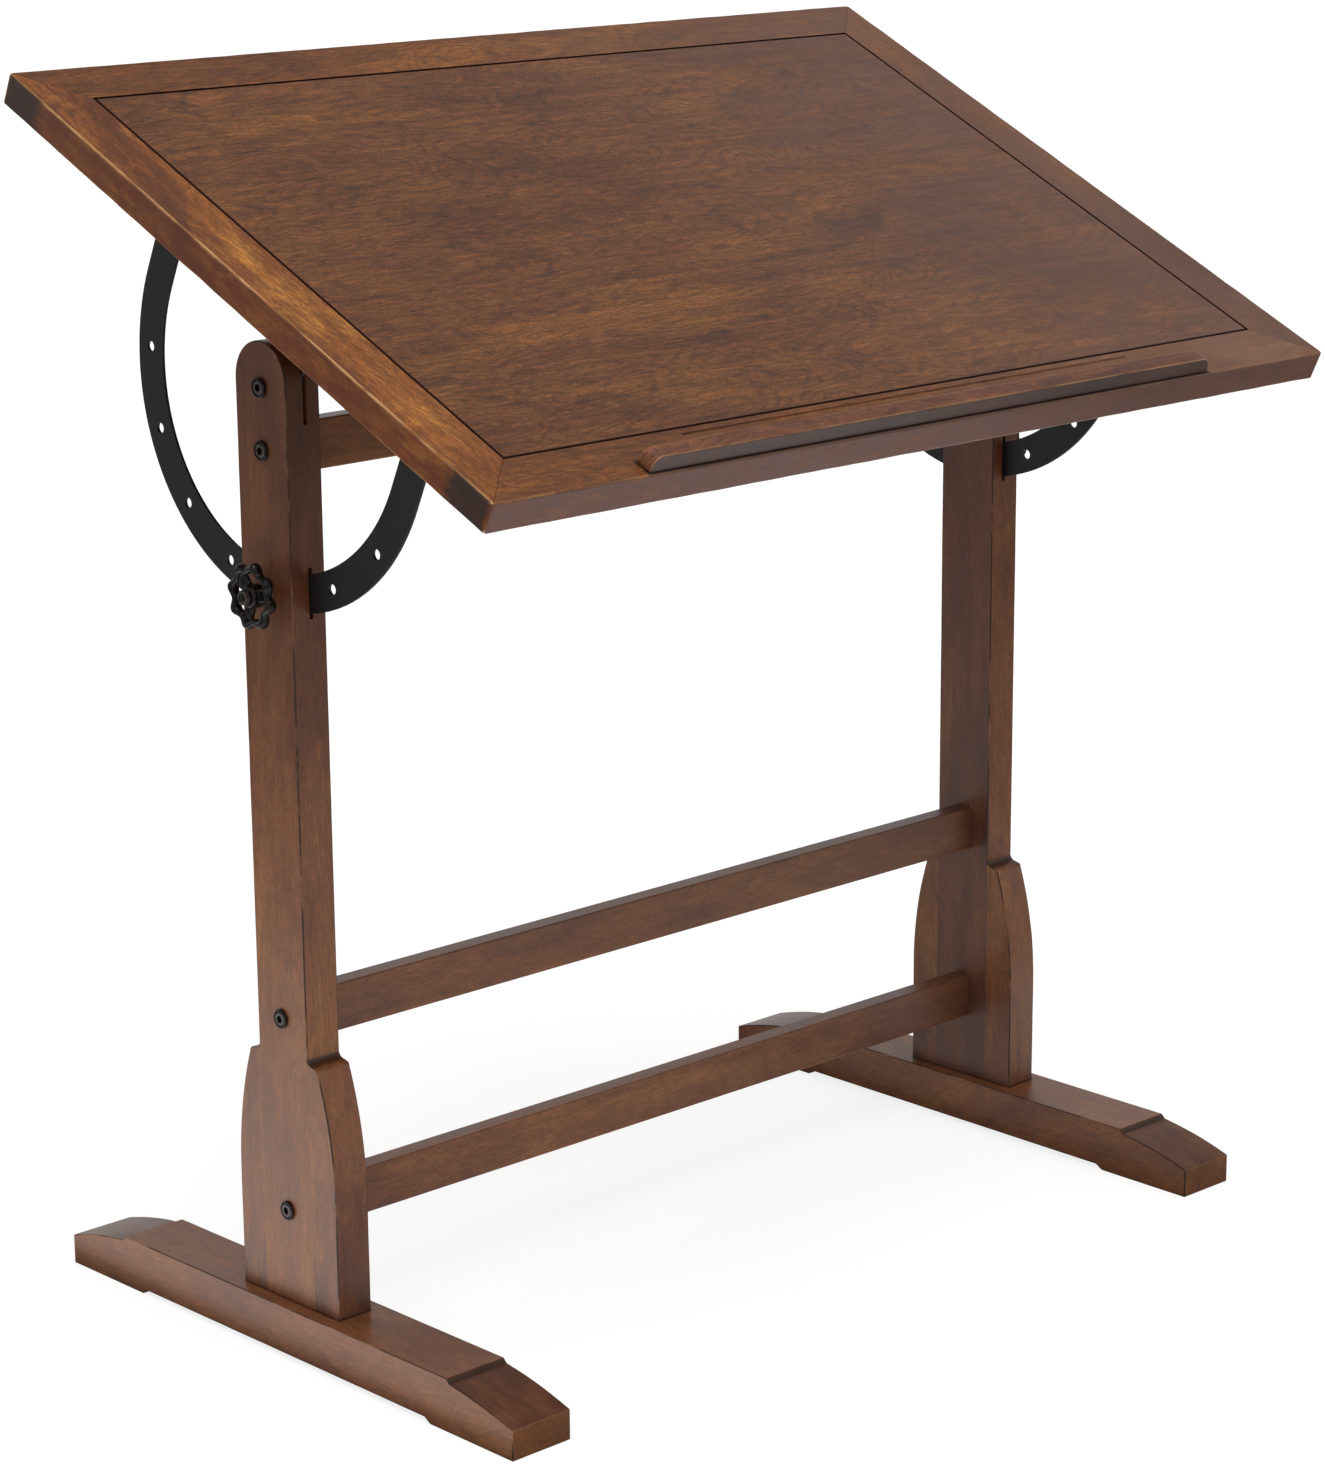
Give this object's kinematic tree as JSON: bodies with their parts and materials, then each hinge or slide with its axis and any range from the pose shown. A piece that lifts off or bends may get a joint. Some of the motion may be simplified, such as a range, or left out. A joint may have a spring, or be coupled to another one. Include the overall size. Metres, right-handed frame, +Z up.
{
  "type": "drafting table",
  "caption": "Wooden drafting table with a tilting bordered top, pencil ledge, steel tilt arcs locked by small handwheels, and a trestle stand.",
  "frame": {"origin": "on the floor, in the middle of the box around the table at its rest tilt", "axes": "+X to the sitter's right across the table, -Y towards the sitter, +Z up"},
  "size_m": [0.9144, 0.6032, 0.9923],
  "materials": {
    "stained_wood": "satin brown stain",
    "border_wood": "satin golden brown stain",
    "veneer_panel": "satin mottled brown stained veneer",
    "black_steel": "matte black",
    "black_bolt": "satin black oxide",
    "cast_metal": "dark bronze, semi-gloss",
    "zinc_steel": "zinc plated"
  },
  "bodies": {
    "stand": {"top_rail": "stained_wood", "middle_rail": "stained_wood", "lower_rail": "stained_wood", "left_post": "stained_wood", "left_foot": "stained_wood", "left_front_wing": "stained_wood", "left_back_wing": "stained_wood", "left_front_foot_screw": "zinc_steel", "left_back_foot_screw": "zinc_steel", "left_top_rail_bolt": "black_bolt", "left_top_rail_insert": "zinc_steel", "left_middle_rail_bolt": "black_bolt", "left_middle_rail_insert": "zinc_steel", "left_lower_rail_bolt": "black_bolt", "left_lower_rail_insert": "zinc_steel", "left_pivot_bolt": "black_bolt", "left_pivot_insert": "zinc_steel", "left_clamp_insert": "zinc_steel", "right_post": "stained_wood", "right_foot": "stained_wood", "right_front_wing": "stained_wood", "right_back_wing": "stained_wood", "right_front_foot_screw": "zinc_steel", "right_back_foot_screw": "zinc_steel", "right_top_rail_bolt": "black_bolt", "right_top_rail_insert": "zinc_steel", "right_middle_rail_bolt": "black_bolt", "right_middle_rail_insert": "zinc_steel", "right_lower_rail_bolt": "black_bolt", "right_lower_rail_insert": "zinc_steel", "right_pivot_bolt": "black_bolt", "right_pivot_insert": "zinc_steel", "right_clamp_insert": "zinc_steel"},
    "table_top": {"top_panel": "veneer_panel", "front_border": "border_wood", "right_border": "border_wood", "back_border": "border_wood", "left_border": "border_wood", "pencil_ledge": "border_wood", "left_arc": "black_steel", "left_pivot_bracket": "black_steel", "left_front_arc_screw": "zinc_steel", "left_back_arc_screw": "zinc_steel", "left_front_bracket_screw": "zinc_steel", "left_back_bracket_screw": "zinc_steel", "right_arc": "black_steel", "right_pivot_bracket": "black_steel", "right_front_arc_screw": "zinc_steel", "right_back_arc_screw": "zinc_steel", "right_front_bracket_screw": "zinc_steel", "right_back_bracket_screw": "zinc_steel"},
    "left_shoe": {"left_clamp_shoe": "zinc_steel"},
    "left_wheel": {"left_clamp_screw": "black_bolt", "left_handwheel": "cast_metal", "left_wheel_nut": "cast_metal"},
    "right_shoe": {"right_clamp_shoe": "zinc_steel"},
    "right_wheel": {"right_clamp_screw": "black_bolt", "right_handwheel": "cast_metal", "right_wheel_nut": "cast_metal"}
  },
  "joints": [
    {"name": "table_tilt", "type": "hinge", "parent": "stand", "child": "table_top", "pos_m": [0, 0.02314, 0.772], "axis": [1, 0, 0], "range_deg": [-24.9, 44.4]},
    {"name": "left_shoe_slide", "type": "slide", "parent": "stand", "child": "left_shoe", "axis": [-1, 0, 0], "range_m": [0, 0.0025]},
    {"name": "left_wheel_turn", "type": "hinge", "parent": "left_shoe", "child": "left_wheel", "pos_m": [-0.42, 0.02314, 0.6155], "axis": [-1, 0, 0], "range_deg": [0, 720]},
    {"name": "right_shoe_slide", "type": "slide", "parent": "stand", "child": "right_shoe", "axis": [1, 0, 0], "range_m": [0, 0.0025]},
    {"name": "right_wheel_turn", "type": "hinge", "parent": "right_shoe", "child": "right_wheel", "pos_m": [0.42, 0.02314, 0.6155], "axis": [1, 0, 0], "range_deg": [0, 720]}
  ],
  "couplings": [
    {"joint": "left_wheel_turn", "follows": "left_shoe_slide", "rad_per_m": 5026.5},
    {"joint": "right_wheel_turn", "follows": "right_shoe_slide", "rad_per_m": 5026.5}
  ]
}
